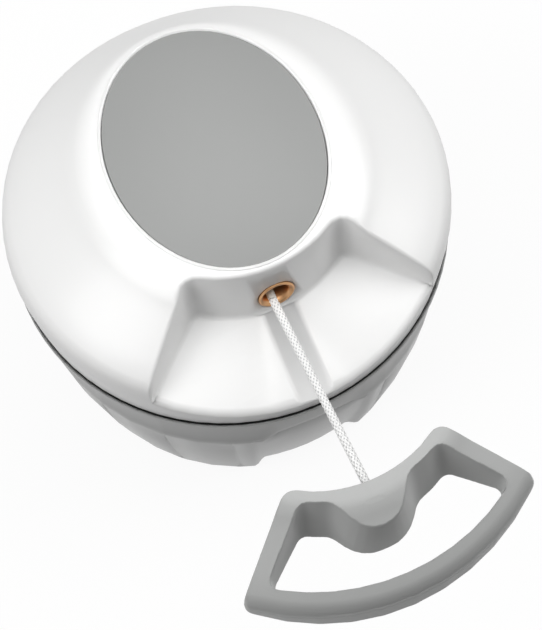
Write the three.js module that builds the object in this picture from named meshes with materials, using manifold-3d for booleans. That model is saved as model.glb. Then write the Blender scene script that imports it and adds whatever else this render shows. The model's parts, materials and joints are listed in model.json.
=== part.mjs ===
// Pull-cord food chopper, standing on its base with its handle drawn out.
// Millimetres, +Z up. The origin is on the bowl's axis at the underside of the base pad,
// and the handle is pulled along -Y. A bearing is an angle about the axis, zero towards
// the handle and growing towards +X.

import * as THREE from "three";
import { mergeVertices } from "three/addons/utils/BufferGeometryUtils.js";
import Module from "manifold-3d";

// Fits shared by all pieces
const fitGap = 0.3;
const runningGap = 0.5;
const cutOverrun = 4;

// Height of the seam between the lid and the bowl, and the dark gap left there
const seamHeight = 69;
const seamGap = 0.7;

// Lid shell
const lidRadius = 65;
const lidWall = 2.2;
const skirtHeight = 12.5;
const skirtInset = 0.9;
const crestHeight = 38;
const crestRim = 0.35;
const crestRimWidth = 0.9;
const ceilingDrop = 5.35;

// The dome's section at the front and at the rear, row by row from the crest out to the top of
// the skirt: the share of the way out and the share of the height
const frontDomeShares = [
  [0, 1], [0.1, 1], [0.2, 0.998], [0.28, 0.975], [0.36, 0.88], [0.45, 0.79],
  [0.59, 0.67], [0.77, 0.505], [0.92, 0.37], [0.965, 0.3], [0.99, 0.2], [1, 0],
];
const rearDomeShares = [
  [0, 1], [0.04, 0.985], [0.1, 0.93], [0.18, 0.84], [0.28, 0.74], [0.4, 0.62],
  [0.55, 0.47], [0.7, 0.32], [0.83, 0.19], [0.92, 0.1], [0.97, 0.04], [1, 0],
];
const frontFadeShare = 0.6;

// Oval cap let into the top of the lid, and what it leaves free at the lid's sides and rear and
// in front of it up to the recess
const capSideMargin = 35.2;
const capRearMargin = 22.6;
const capFrontMargin = 5.1;
const capThickness = 2.4;
const capEdgeRound = 0.5;

// Recess that the handle docks in
const recessLength = 26.3;
const recessHalfWidth = 22.5;
const recessOuterHalfWidth = 42.3;
const recessOuterInset = 0.65;
const recessFloorHeight = 19.2;
const recessFloorSlope = 0.39;
const recessCornerRound = 4;
const recessFillet = 1.2;
const recessRimRound = 1.2;
const recessFrontRound = 2.2;
const recessDraft = 0.12;
const recessSideDraft = 0.05;
const recessSideShares = [0.16, 0.3, 0.44, 0.58, 0.72, 0.84, 0.92, 0.965, 0.99];
const cordChannelWidth = 12.5;
const cordChannelDepth = 0.9;

// Eyelet in the recess wall
const eyeletHeight = 23.4;
const eyeletProud = 0.3;
const eyeletFlangeRadius = 5.4;
const eyeletFlangeThickness = 0.8;
const eyeletRimWidth = 0.7;
const eyeletTubeRadius = 4.5;
const eyeletBoreRadius = 3.6;
const eyeletTubeLength = 4.4;
const eyeletBossWall = 2.4;

// Pull handle, described where it docks, and how far it is drawn out
const handleDraw = 62.2;
const handleClearance = 0.8;
const handleProud = 0.5;
const handleTopInset = 0.4;
const handleTopDrop = 0.2;
const handleSideDraft = 0.03;
const handleEdgeRound = 1.2;
const handleFootRound = 0.6;
const handleCornerRound = 1.7;
const handleInnerRound = 4;
const handleSideShares = [0.2, 0.36, 0.52, 0.68, 0.83];
const innerBarWidth = 1.7;
const outerBarWidth = 5.7;
const openingSideWall = 4.3;
const openingInnerRound = 3;
const openingOuterRound = 2;
const openingSideShares = [0.25, 0.5, 0.75];
const openingDraft = 0.2;
const openingSideDraft = 0.08;
const tongueTipDraft = 0.09;
const tongueSideDraft = 0.1;
const tongueLength = 9.7;
const tongueShift = -1.5;
const tongueTipHalfWidth = 5;
const tongueRootHalfWidth = 10.6;
const tongueTipRoundShare = 1.6;
const tongueRootRound = 5.5;
const knotPocketRadius = 3.4;
const knotInset = 4.7;
const knotRadius = 2.7;

// Cord
const cordDiameter = 2.5;
const cordHoleClearance = 0.45;
const cordSides = 8;
const cordSideShift = -1.4;
const cordEntryShift = -0.8;
const cordGuideShift = -0.2;
const cordExitDrop = 1.3;
const cordEntryHeight = 29;

// Spool, its shaft and the wound cord
const spoolDrumRadius = 16;
const spoolFlangeRadius = 23;
const spoolFlangeThickness = 1.6;
const spoolDrumWidth = 13.2;
const spoolHubRadius = 8;
const spoolHubDrop = 7.6;
const spoolNoseRadius = 6;
const spoolNoseHeight = 0.9;
const cordTurns = 3.4;
const cordTurnGap = 0.45;
const shaftHexRadius = 5;
const shaftRadius = 5;
const couplerRadius = 8;
const couplerDepth = 10;
const couplerChamfer = 1.2;
const couplerHexRadius = 4.9;
const axlePinRadius = 2.5;
const axlePinLength = 7;
const axlePinEmbed = 1.4;

// Lid base, the lower cover that closes the lid
const baseBottomDrop = 4.5;
const baseWall = 2.2;
const plugClearance = 1.1;
const baseFlangeClearance = 0.4;
const baseFlangeThickness = 1.8;
const baseSpringWallRadius = 24;
const baseSpringWallThickness = 2;
const baseSpringWallHeight = 8;
const baseBossRadius = 10.6;
const baseBossHeight = 5.4;

// Seal ring in the plug's groove
const sealHeight = 1.6;
const sealDepth = 1.2;
const sealLip = 0.7;

// Shaft bushing and thrust washer
const bushingWall = 2;
const bushingFlangeRadius = 10;
const bushingFlangeThickness = 1.2;
const washerRadius = 9;
const washerThickness = 1;

// Spring cup and recoil spring
const springCupRadius = 26.6;
const springCupWall = 1.6;
const springCupFloor = 1.2;
const springCupDepth = 8.4;
const springWidth = 6;
const springThickness = 0.7;
const springTurns = 5;

// Screws that hold the lid base to the shell
const screwBossRadius = 3.6;
const screwHeadRadius = 2.7;
const screwHeadHeight = 1.8;
const screwShankRadius = 1.4;
const screwLength = 9;
const screwCircleInset = 15.5;
const screwPadRadius = 4.8;
const screwPadHeight = 5.6;
const screwBearings = [72, 148, 212, 288];

// Bowl
const bowlWall = 2.4;
const bowlTopInset = 1;
const bowlTaper = 7;
const bowlFootHeight = 4;
const bowlFloorHeight = 5.5;
const bowlUndersideHeight = 0.8;
const bowlFootRound = 3.2;
const flangeThickness = 2;
const flangeRound = 0.25;
const flangeBead = 0.5;
const flangeGroove = 0.9;
const lipClearance = 1.5;
const lipThickness = 2;
const lipHeight = 2.3;
const neckInset = 0.8;
const neckHeight = 7;
const shoulderHeight = 5;

// Grip panels at the front and back of the bowl, and the flutes between them
const panelHalfAngle = 15;
const panelEdgeAngle = 3.5;
const panelTopDrop = 15;
const panelArch = 6.5;
const panelTopStep = 0.9;
const panelStepHeight = 0.7;
const panelFootInset = 2.9;
const flutesPerSide = 7;
const fluteFirstBearing = 23;
const fluteTopHalfAngle = 0.45;
const fluteFootHalfAngle = 1.25;
const fluteDepth = 0.6;
const fluteFade = 3.5;

// Base pad and pivot pin
const padInset = 11;
const padThickness = 2.4;
const pinRadius = 2.8;
const pinHeight = 16.5;
const pinBossRadius = 6.6;
const pinBossHeight = 3;
const pinSeatDepth = 3.6;

// Blade unit
const hubFootRadius = 8.4;
const hubTopRadius = 6.4;
const hubTopGap = 1;
const hubBoreDepth = 14;
const hubCollarRadius = 10.4;
const hubCollarHeight = 7;
const hubCollarChamfer = 1;
const drivePostHexRadius = 4.4;
const drivePostHeight = 8.2;
const bladeClearance = 8.5;
const bladeRootRadius = 4.6;
const bladeWidth = 15;
const bladeThickness = 1;
const bladeGrind = 2.2;
const lowerBladeLift = 3.5;
const upperBladeDrop = 9.7;
const bladeSpreadShares = [0, 0.5, 1];
const bladeBearings = [90, 210, 330];

// How finely round shapes are divided
const lidColumns = 70;
const hiddenColumns = 36;
const rimSegments = 78;
const fineSegments = 34;
const coarseSegments = 26;
const smallSegments = 14;
const hexSides = 6;

// Sizes that follow from the ones above
const recessInnerRadius = lidRadius - recessLength;
const recessFloorReach = Math.sqrt(recessInnerRadius ** 2 - recessHalfWidth ** 2);
const recessOuterReach = Math.sqrt((lidRadius - recessOuterInset) ** 2 - recessOuterHalfWidth ** 2);
const capRearReach = lidRadius - capRearMargin;
const capFrontReach = recessInnerRadius - capFrontMargin;
const capHalfLength = (capRearReach + capFrontReach) / 2;
const capSetBack = (capRearReach - capFrontReach) / 2;
const capHalfWidth = lidRadius - capSideMargin;
const handleOuterRadius = lidRadius + handleProud;
const openingInnerRadius = recessInnerRadius + innerBarWidth;
const openingOuterRadius = handleOuterRadius - outerBarWidth;
const tongueTipReach = recessInnerRadius + tongueLength;
const knotReach = recessInnerRadius + knotInset;
const bowlTopRadius = lidRadius - bowlTopInset;
const bowlFootRadius = bowlTopRadius - bowlTaper;
const lipRadius = lidRadius - lidWall - lipClearance;
const mouthRadius = lipRadius - lipThickness;
const basePlugRadius = mouthRadius - plugClearance;
const baseFlangeRadius = lidRadius - lidWall - baseFlangeClearance;
const screwCircleRadius = lidRadius - screwCircleInset;
const padRadius = bowlFootRadius - padInset;
const bladeReach = bowlFootRadius - bladeClearance;

// Finishes
const finish = (color, roughness, metalness) =>
  new THREE.MeshStandardMaterial({ color, roughness, metalness });
const whitePlastic = finish(0xf4f4f4, 0.28, 0);
const capPlastic = finish(0xadaead, 0.45, 0);
const handlePlastic = finish(0xa2a3a2, 0.5, 0);
const bowlPlastic = finish(0xa9aaa9, 0.35, 0);
const mechanismPlastic = finish(0xe2e2de, 0.5, 0);
const sealRubber = finish(0x3a3a3a, 0.7, 0);
const padRubber = finish(0x8c8c8c, 0.8, 0);
const copperAlloy = finish(0xc49a6c, 0.35, 1);
const steel = finish(0xc8cacc, 0.3, 1);
const braid = finish(0xf0f0ee, 0.8, 0);

// Solids

const wasm = await Module();
wasm.setup();
const mergeTolerance = 1e-5;

const radians = (degrees) => (degrees * Math.PI) / 180;
const smooth = (low, high, value) => THREE.MathUtils.smoothstep(value, low, high);
const mix = THREE.MathUtils.lerp;

function enclosedVolume(position, index) {
  const [a, b, c] = [new THREE.Vector3(), new THREE.Vector3(), new THREE.Vector3()];
  let sixfold = 0;
  for (let i = 0; i < index.length; i += 3) {
    a.fromBufferAttribute(position, index[i]);
    b.fromBufferAttribute(position, index[i + 1]);
    c.fromBufferAttribute(position, index[i + 2]);
    sixfold += a.dot(b.cross(c));
  }
  return sixfold / 6;
}

function solidFrom(geometry) {
  const bare = geometry.clone();
  bare.deleteAttribute("normal");
  bare.deleteAttribute("uv");
  const merged = mergeVertices(bare, mergeTolerance);
  const index = [];
  for (let i = 0; i < merged.index.count; i += 3) {
    const corners = [0, 1, 2].map((k) => merged.index.getX(i + k));
    if (new Set(corners).size === 3) index.push(...corners);
  }
  const position = merged.attributes.position;
  if (enclosedVolume(position, index) < 0) index.reverse();
  return new wasm.Manifold(
    new wasm.Mesh({
      numProp: 3,
      vertProperties: Float32Array.from(position.array),
      triVerts: Uint32Array.from(index),
    }),
  );
}

function geometryFrom(solid) {
  const mesh = solid.getMesh();
  const geometry = new THREE.BufferGeometry();
  geometry.setAttribute("position", new THREE.BufferAttribute(mesh.vertProperties, 3));
  geometry.setIndex(new THREE.BufferAttribute(mesh.triVerts, 1));
  geometry.computeVertexNormals();
  return geometry;
}

// Loops of one outline at rising levels, joined by walls and closed at both ends. The outer
// loops run anticlockwise seen from above, and the loops of a hole run clockwise.
function stacked(levels, holes = []) {
  const walls = [levels, ...holes];
  const vertices = walls.flat(2);
  const faces = [];
  let start = 0;
  const starts = [];
  for (const wall of walls) {
    const count = wall[0].length;
    starts.push({ first: start, last: start + (wall.length - 1) * count });
    for (let level = 0; level + 1 < wall.length; level++) {
      const low = start + level * count;
      const high = low + count;
      for (let i = 0; i < count; i++) {
        const next = (i + 1) % count;
        faces.push(low + i, low + next, high + next, low + i, high + next, high + i);
      }
    }
    start += wall.length * count;
  }
  for (const end of ["first", "last"]) {
    const pick = (wall) => (end === "first" ? wall[0] : wall[wall.length - 1]);
    const flat = walls.map((wall) => pick(wall).map((p) => new THREE.Vector2(p.x, p.y)));
    const owners = walls.flatMap((wall, w) => pick(wall).map((_, i) => starts[w][end] + i));
    for (const face of THREE.ShapeUtils.triangulateShape(flat[0], flat.slice(1))) {
      const corners = face.map((i) => owners[i]);
      faces.push(...(end === "first" ? corners.reverse() : corners));
    }
  }
  const geometry = new THREE.BufferGeometry();
  geometry.setAttribute(
    "position",
    new THREE.Float32BufferAttribute(vertices.flatMap((p) => [p.x, p.y, p.z]), 3),
  );
  geometry.setIndex(faces);
  return solidFrom(geometry);
}

// Triangles between an outer loop and an inner loop, both anticlockwise, each taking the
// shorter of the two next diagonals. They are given as indices into the two loops.
function stripBetween(outer, inner) {
  const gap = (i, j) => outer[i % outer.length].distanceTo(inner[j % inner.length]);
  const nearest = inner.reduce((best, _, j) => (gap(0, j) < gap(0, best) ? j : best), 0);
  const end = nearest + inner.length;
  const faces = [];
  let [i, j] = [0, nearest];
  while (i < outer.length || j < end) {
    const alongOuter = j === end || (i < outer.length && gap(i + 1, j) < gap(i, j + 1));
    faces.push({ i, j, alongOuter });
    if (alongOuter) i++;
    else j++;
  }
  return faces;
}

// A frame from outer and inner loops at rising levels, both ends closed by a strip
function framed(outer, inner) {
  const position = [];
  const index = [];
  const starts = [outer, inner].map((levels) =>
    levels.map((loop) => {
      const start = position.length / 3;
      for (const p of loop) position.push(p.x, p.y, p.z);
      return start;
    }),
  );
  [outer, inner].forEach((levels, side) => {
    const count = levels[0].length;
    for (let k = 0; k + 1 < levels.length; k++) {
      const [low, high] = [starts[side][k], starts[side][k + 1]];
      for (let i = 0; i < count; i++) {
        const next = (i + 1) % count;
        const corners = [low + i, low + next, high + next, low + i, high + next, high + i];
        index.push(...(side === 0 ? corners : corners.reverse()));
      }
    }
  });
  for (const top of [false, true]) {
    const at = (levels) => (top ? levels.length - 1 : 0);
    const [outerLoop, innerLoop] = [outer[at(outer)], inner[at(inner)]];
    const outerAt = (i) => starts[0][at(outer)] + (i % outerLoop.length);
    const innerAt = (j) => starts[1][at(inner)] + (j % innerLoop.length);
    for (const { i, j, alongOuter } of stripBetween(outerLoop, innerLoop)) {
      const third = alongOuter ? [outerAt(i), outerAt(i + 1), innerAt(j)] : [innerAt(j), outerAt(i), innerAt(j + 1)];
      index.push(...(top ? third : third.reverse()));
    }
  }
  const geometry = new THREE.BufferGeometry();
  geometry.setAttribute("position", new THREE.Float32BufferAttribute(position, 3));
  geometry.setIndex(index);
  return solidFrom(geometry);
}

// A profile of [radius, height] points turned about the axis. It starts and ends on the axis,
// or it is a closed ring's section.
function turned(profile, segments) {
  const points = profile.map(([radius, height]) => new THREE.Vector2(radius, height));
  const onAxis = profile[0][0] === 0;
  if (!onAxis) points.push(points[0].clone());
  const geometry = new THREE.LatheGeometry(points, segments);
  geometry.rotateX(Math.PI / 2);
  return solidFrom(geometry);
}

const rod = (radius, low, high, segments = smallSegments) =>
  turned([[0, low], [radius, low], [radius, high], [0, high]], segments);

function prism(outline, low, high) {
  return stacked([low, high].map((z) => outline.map((p) => lifted(p, z))));
}

// A tube of round section along a curve
function tube(curve, radius, steps, sides) {
  const section = new THREE.Shape();
  for (let i = 0; i < sides; i++) {
    const angle = (i / sides) * 2 * Math.PI;
    const point = [radius * Math.cos(angle), radius * Math.sin(angle)];
    if (i === 0) section.moveTo(...point);
    else section.lineTo(...point);
  }
  section.closePath();
  return solidFrom(new THREE.ExtrudeGeometry(section, { steps, extrudePath: curve, curveSegments: 1 }));
}

const joined = (solids) => solids.reduce((sum, solid) => sum.add(solid));

// Plan outlines

const onBearing = (radius, bearing) =>
  new THREE.Vector2(radius * Math.sin(bearing), -radius * Math.cos(bearing));

// Moves each point of a closed anticlockwise outline outwards by the distance given for it
function offsetOutline(outline, distanceAt) {
  const count = outline.length;
  return outline.map((point, i) => {
    const before = point.clone().sub(outline[(i + count - 1) % count]).normalize();
    const after = outline[(i + 1) % count].clone().sub(point).normalize();
    const normal = new THREE.Vector2(before.y + after.y, -before.x - after.x).normalize();
    const mitre = normal.x * after.y - normal.y * after.x;
    return point.clone().addScaledVector(normal, distanceAt(point) / mitre);
  });
}

const withoutRepeats = (outline) =>
  outline.filter((point, i) => !point.equals(outline[(i + 1) % outline.length]));

// Rounds the corners of a polygon. Each corner is { at, round }, and a round of zero keeps it.
function roundedOutline(corners, arcSteps = 4) {
  const count = corners.length;
  return corners.flatMap(({ at, round }, i) => {
    if (round === 0) return [at.clone()];
    const toBefore = corners[(i + count - 1) % count].at.clone().sub(at).normalize();
    const toAfter = corners[(i + 1) % count].at.clone().sub(at).normalize();
    const halfAngle = Math.acos(THREE.MathUtils.clamp(toBefore.dot(toAfter), -1, 1)) / 2;
    const reach = round / Math.tan(halfAngle);
    const centre = toBefore.clone().add(toAfter).normalize().multiplyScalar(round / Math.sin(halfAngle)).add(at);
    const from = toBefore.multiplyScalar(reach).add(at).sub(centre);
    const to = toAfter.multiplyScalar(reach).add(at).sub(centre);
    const turn = Math.atan2(from.cross(to), from.dot(to));
    return Array.from({ length: arcSteps + 1 }, (_, k) =>
      from.clone().rotateAround(new THREE.Vector2(), (turn * k) / arcSteps).add(centre),
    );
  });
}

// Lid shell: a dome from an oval crest down to a round skirt

const lidBottom = seamHeight + seamGap / 2;
const shoulderLevel = seamHeight + skirtHeight;
const crestLevel = seamHeight + crestHeight;
const ceilingLevel = crestLevel + crestRim - ceilingDrop;

const ovalPoint = (halfWidth, halfLength, bearing) =>
  new THREE.Vector2(halfWidth * Math.sin(bearing), capSetBack - halfLength * Math.cos(bearing));

const crestPoint = (bearing, inset) =>
  ovalPoint(
    capHalfWidth + fitGap + crestRimWidth - inset,
    capHalfLength + fitGap + crestRimWidth - inset,
    bearing,
  );

// Share of the way out and height of a row of the dome's section at a bearing
function domeSection(row, bearing, inset, topLevel) {
  const front = ((1 + Math.cos(bearing)) / 2) ** frontFadeShare;
  const [rear, ahead] = [rearDomeShares[row], frontDomeShares[row]];
  return {
    out: mix(rear[0], ahead[0], front),
    height: mix(shoulderLevel - inset / 2, topLevel, mix(rear[1], ahead[1], front)),
  };
}

// One point per column, the columns being even bearings round the lid
const ringOf = (columns, pointAt) =>
  Array.from({ length: columns }, (_, i) => pointAt((i / columns) * 2 * Math.PI));

const lifted = (point, height) => new THREE.Vector3(point.x, point.y, height);

function domeRing(columns, row, inset, topLevel) {
  return ringOf(columns, (bearing) => {
    const { out, height } = domeSection(row, bearing, inset, topLevel);
    return lifted(crestPoint(bearing, inset).lerp(onBearing(lidRadius - inset, bearing), out), height);
  });
}

const circleRing = (columns, radius, height) =>
  ringOf(columns, (bearing) => lifted(onBearing(radius, bearing), height));

const crestRing = (inset, height) =>
  ringOf(lidColumns, (bearing) => lifted(crestPoint(bearing, inset), height));

const domeRows = frontDomeShares.map((_, row) => row).reverse();
const hiddenRows = domeRows.filter((row) => row === 0 || row % 2 === 1);

// Height of the dome's outside over a point of the plan
function domeHeight(point) {
  const bearingOf = Math.atan2(point.x, -point.y);
  let [low, high] = [bearingOf - 1, bearingOf + 1];
  const side = (bearing) => {
    const inner = crestPoint(bearing, 0);
    return onBearing(lidRadius, bearing).sub(inner).cross(point.clone().sub(inner));
  };
  for (let i = 0; i < 40; i++) {
    const middle = (low + high) / 2;
    if (side(middle) > 0) low = middle;
    else high = middle;
  }
  const bearing = (low + high) / 2;
  const inner = crestPoint(bearing, 0);
  const span = onBearing(lidRadius, bearing).sub(inner);
  const out = THREE.MathUtils.clamp(point.clone().sub(inner).dot(span) / span.lengthSq(), 0, 1);
  const sections = domeRows.map((row) => domeSection(row, bearing, 0, crestLevel)).reverse();
  const past = Math.max(1, sections.findIndex((section) => section.out >= out));
  const [near, far] = [sections[past - 1], sections[past]];
  return mix(near.height, far.height, (out - near.out) / (far.out - near.out));
}

// Handle recess

const recessFloor = (point) =>
  seamHeight + recessFloorHeight - recessFloorSlope * (-point.y - recessFloorReach);

// Side line of the recess, as the unit direction outwards on the +X side
const recessSide = new THREE.Vector2(
  recessOuterHalfWidth - recessHalfWidth,
  recessFloorReach - recessOuterReach,
).normalize();
const recessCorner = new THREE.Vector2(recessHalfWidth, -recessFloorReach);

// Corner where the recess side line, moved outwards, meets a circle about the axis
function sideMeets(radius, moved) {
  const start = recessCorner.clone().add(new THREE.Vector2(-recessSide.y, recessSide.x).multiplyScalar(moved));
  const along = start.dot(recessSide);
  const reach = -along + Math.sqrt(along ** 2 + radius ** 2 - start.lengthSq());
  return start.addScaledVector(recessSide, reach);
}

const mirrored = (point) => new THREE.Vector2(-point.x, point.y);

// Points of an arc about the axis between a +X corner and its mirror image, stopping short of
// their rounding. The arc runs from -X to +X or back.
function frontArc(corner, round, steps, towardsPlusX) {
  const radius = corner.length();
  const halfBearing = Math.atan2(corner.x, -corner.y) - (arcMargin * round) / radius;
  return Array.from({ length: steps + 1 }, (_, i) => {
    const share = towardsPlusX ? i / steps : 1 - i / steps;
    return { at: onBearing(radius, mix(-halfBearing, halfBearing, share)), round: 0 };
  });
}

const arcMargin = 1.8;

// Corners of a four-sided outline with straight sides and arcs at its inner and outer ends,
// anticlockwise from the -X end of the outer arc
function fanCorners(inner, outer, innerRound, outerRound, sidePoints, arcSteps) {
  const plain = (points) => points.map((at) => ({ at, round: 0 }));
  return [
    ...frontArc(outer, outerRound, arcSteps, true),
    { at: outer, round: outerRound },
    ...plain([...sidePoints].reverse()),
    { at: inner, round: innerRound },
    ...frontArc(inner, innerRound, arcSteps, false),
    { at: mirrored(inner), round: innerRound },
    ...plain(sidePoints.map(mirrored)),
    { at: mirrored(outer), round: outerRound },
  ];
}

function recessOutline() {
  const inner = sideMeets(recessInnerRadius, 0);
  const outer = sideMeets(lidRadius + cutOverrun, 0);
  const side = recessSideShares.map((share) => sideMeets(mix(recessInnerRadius, lidRadius, share), 0));
  return withoutRepeats(roundedOutline(fanCorners(inner, outer, recessCornerRound, 0, side, 8)));
}

// Draft of the recess wall at a point of its outline: less at the sides than at the inner end
const wallDraft = (point) =>
  mix(
    recessDraft,
    recessSideDraft,
    smooth(recessInnerRadius, recessInnerRadius + recessCornerRound, point.length()),
  );

const filletShares = [0, 0.5, 1];
const rimShares = [0, 0.4, 0.75, 1];
const rimLevel = (point) =>
  Math.max(domeHeight(point), recessFloor(point) + recessFillet + 2 * recessRimRound);

// The recess wall's rounded top edge, which follows the dome
function recessRim(outline) {
  const wallTop = (p) => wallDraft(p) * (rimLevel(p) - recessFloor(p));
  return rimShares.map((share) => {
    const angle = (share * Math.PI) / 2;
    const loop = offsetOutline(outline, (p) => wallTop(p) + recessRimRound * (1 - Math.cos(angle)));
    const overshoot = share === 1 ? mergeTolerance : 0;
    return loop.map((p) => lifted(p, rimLevel(p) - recessRimRound * (1 - Math.sin(angle)) + overshoot));
  });
}

// The space of the recess, grown by a wall thickness
function recessSpace(wall) {
  const outline = recessOutline();
  const top = crestLevel + cutOverrun;
  const round = recessFillet;
  const levels = filletShares.map((share) => {
    const angle = (share * Math.PI) / 2;
    const loop = offsetOutline(outline, () => wall - round * (1 - Math.sin(angle)));
    return loop.map((p) => lifted(p, recessFloor(p) - wall + round * (1 - Math.cos(angle))));
  });
  if (wall > 0) {
    const rim = offsetOutline(outline, (p) => wall + wallDraft(p) * (top - recessFloor(p)));
    return stacked([...levels, rim.map((p) => lifted(p, top))]);
  }
  const rim = recessRim(outline);
  return stacked([...levels, ...rim, rim[rim.length - 1].map((p) => lifted(p, top))]);
}

// Radius of the skirt at a height: it closes in towards the seam
const skirtRadius = (height) =>
  lidRadius - (skirtInset * (shoulderLevel - height)) / (shoulderLevel - lidBottom);

// What rounds the front edge of the recess floor
function frontRounding() {
  const ring = (inset, rise) =>
    ringOf(lidColumns, (bearing) => {
      const skirt = skirtRadius(recessFloor(onBearing(lidRadius, bearing)));
      const point = onBearing(skirt - inset, bearing);
      return lifted(point, recessFloor(point) + rise);
    });
  const round = recessFrontRound;
  const outer = [-round, fitGap].map((rise) => ring(-cutOverrun, rise));
  const edge = [0, 0.33, 0.67, 1].map((share) => {
    const angle = (share * Math.PI) / 2;
    return ring(round * (1 - Math.cos(angle)), -round * (1 - Math.sin(angle)));
  });
  const inner = [...edge, ring(round, fitGap)];
  const area = prism(recessOutline(), seamHeight, crestLevel);
  return stacked(outer, [inner.map((loop) => loop.reverse())]).intersect(area);
}

// Shallow channel in the recess floor under the cord
function cordChannel() {
  const radius = (cordChannelWidth ** 2 / 4 + cordChannelDepth ** 2) / (2 * cordChannelDepth);
  const length = lidRadius - recessInnerRadius + 2 * cutOverrun;
  const geometry = new THREE.CylinderGeometry(radius, radius, length, fineSegments);
  const tilt = Math.atan(recessFloorSlope);
  const innerEnd = recessInnerRadius + radius * Math.sin(tilt);
  const middle = new THREE.Vector2(0, -innerEnd - (length / 2) * Math.cos(tilt));
  const rise = (radius - cordChannelDepth) / Math.cos(tilt);
  geometry.rotateX(tilt);
  geometry.translate(0, middle.y, recessFloor(middle) + rise);
  return solidFrom(geometry);
}

// A turned piece set square to the drafted recess wall at the eyelet, its profile's heights
// being distances out from the wall's face
const draftDegrees = THREE.MathUtils.radToDeg(Math.atan(recessDraft));
const wallReach = (height) => {
  const floor = recessFloor(new THREE.Vector2(0, -recessInnerRadius));
  return recessInnerRadius - recessDraft * (height - floor);
};
const eyeletLevel = seamHeight + eyeletHeight;
const eyeletReach = wallReach(eyeletLevel);

const atEyelet = (solid) =>
  solid.rotate([90 - draftDegrees, 0, 0]).translate([0, -eyeletReach, eyeletLevel]);

const screwPoints = screwBearings.map((bearing) => onBearing(screwCircleRadius, radians(bearing)));
const screwBossBottom = seamHeight - baseBottomDrop + screwPadHeight + fitGap;
const screwBore = screwShankRadius + fitGap;

function lidShell() {
  const outside = stacked([
    circleRing(lidColumns, lidRadius - skirtInset, lidBottom),
    ...domeRows.map((row) => domeRing(lidColumns, row, 0, crestLevel)),
    crestRing(0, crestLevel + crestRim / 2),
    crestRing(crestRim / 2, crestLevel + crestRim),
  ]);
  const inside = stacked([
    circleRing(hiddenColumns, lidRadius - lidWall, lidBottom - cutOverrun),
    ...hiddenRows.map((row) => domeRing(hiddenColumns, row, lidWall, ceilingLevel)),
  ]);
  const bosses = screwPoints.map((p) =>
    rod(screwBossRadius, screwBossBottom, crestLevel).translate([p.x, p.y, 0]).intersect(outside),
  );
  const bores = screwPoints.map((p) =>
    rod(screwBore, screwBossBottom - cutOverrun, screwBossBottom + screwLength).translate([p.x, p.y, 0]),
  );
  const hollow = inside.subtract(recessSpace(lidWall)).subtract(joined(bosses));
  const bossOuterRadius = eyeletTubeRadius + fitGap + eyeletBossWall;
  const seat = eyeletProud - eyeletFlangeThickness - fitGap;
  const bossInner = seat - eyeletTubeLength + 2 * fitGap;
  const eyeletBoss = atEyelet(rod(bossOuterRadius, bossInner, -lidWall / 2, coarseSegments));
  const eyeletSeat = atEyelet(
    turned(
      [
        [0, bossInner - cutOverrun],
        [eyeletTubeRadius + fitGap, bossInner - cutOverrun],
        [eyeletTubeRadius + fitGap, seat],
        [eyeletFlangeRadius + fitGap, seat],
        [eyeletFlangeRadius + fitGap, cutOverrun],
        [0, cutOverrun],
      ],
      coarseSegments,
    ),
  );
  const capSeat = prism(
    ringOf(lidColumns, (bearing) => ovalPoint(capHalfWidth + fitGap, capHalfLength + fitGap, bearing)),
    crestLevel + crestRim - capThickness - fitGap,
    crestLevel + cutOverrun,
  );
  const axleHole = rod(axlePinRadius + fitGap, ceilingLevel - cutOverrun, axlePinTop + fitGap);
  return outside
    .subtract(hollow)
    .subtract(recessSpace(0))
    .subtract(frontRounding())
    .subtract(cordChannel())
    .add(eyeletBoss)
    .subtract(eyeletSeat)
    .subtract(capSeat)
    .subtract(joined(bores))
    .subtract(axleHole);
}

function capDisc() {
  const top = crestLevel + crestRim;
  const ring = (inset, height) =>
    ringOf(lidColumns, (bearing) =>
      lifted(ovalPoint(capHalfWidth - inset, capHalfLength - inset, bearing), height),
    );
  return stacked([
    ring(0, top - capThickness),
    ring(0, top - capEdgeRound),
    ring(capEdgeRound, top),
  ]);
}

function cordEyelet() {
  const back = eyeletProud - eyeletFlangeThickness;
  const lead = (eyeletFlangeRadius - eyeletBoreRadius) / 4;
  return atEyelet(
    turned(
      [
        [eyeletBoreRadius, back - eyeletTubeLength],
        [eyeletTubeRadius, back - eyeletTubeLength],
        [eyeletTubeRadius, back],
        [eyeletFlangeRadius, back],
        [eyeletFlangeRadius, eyeletProud - eyeletRimWidth / 2],
        [eyeletFlangeRadius - eyeletRimWidth / 2, eyeletProud],
        [eyeletFlangeRadius - eyeletRimWidth, eyeletProud],
        [eyeletBoreRadius + lead, back + lead / 2],
        [eyeletBoreRadius, back - lead],
      ],
      coarseSegments,
    ),
  );
}

// Pull handle

const handleWall = (point) => handleTop(point) - handleBottom(point);

// The handle's outline at a share of its height. Its inner end is drafted like the recess's.
function handleOutline(share) {
  const rise = (radius) => share * handleWall(sideMeets(radius, -handleClearance));
  const innerRadius = recessInnerRadius + handleClearance;
  const innerRise = rise(innerRadius);
  const inner = sideMeets(
    innerRadius - recessDraft * innerRise,
    handleSideDraft * innerRise - handleClearance,
  );
  const outer = sideMeets(
    handleOuterRadius,
    handleSideDraft * rise(handleOuterRadius) - handleClearance,
  );
  const side = handleSideShares.map((along) => inner.clone().lerp(outer, along));
  return roundedOutline(fanCorners(inner, outer, handleInnerRound, handleCornerRound, side, 10));
}

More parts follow.
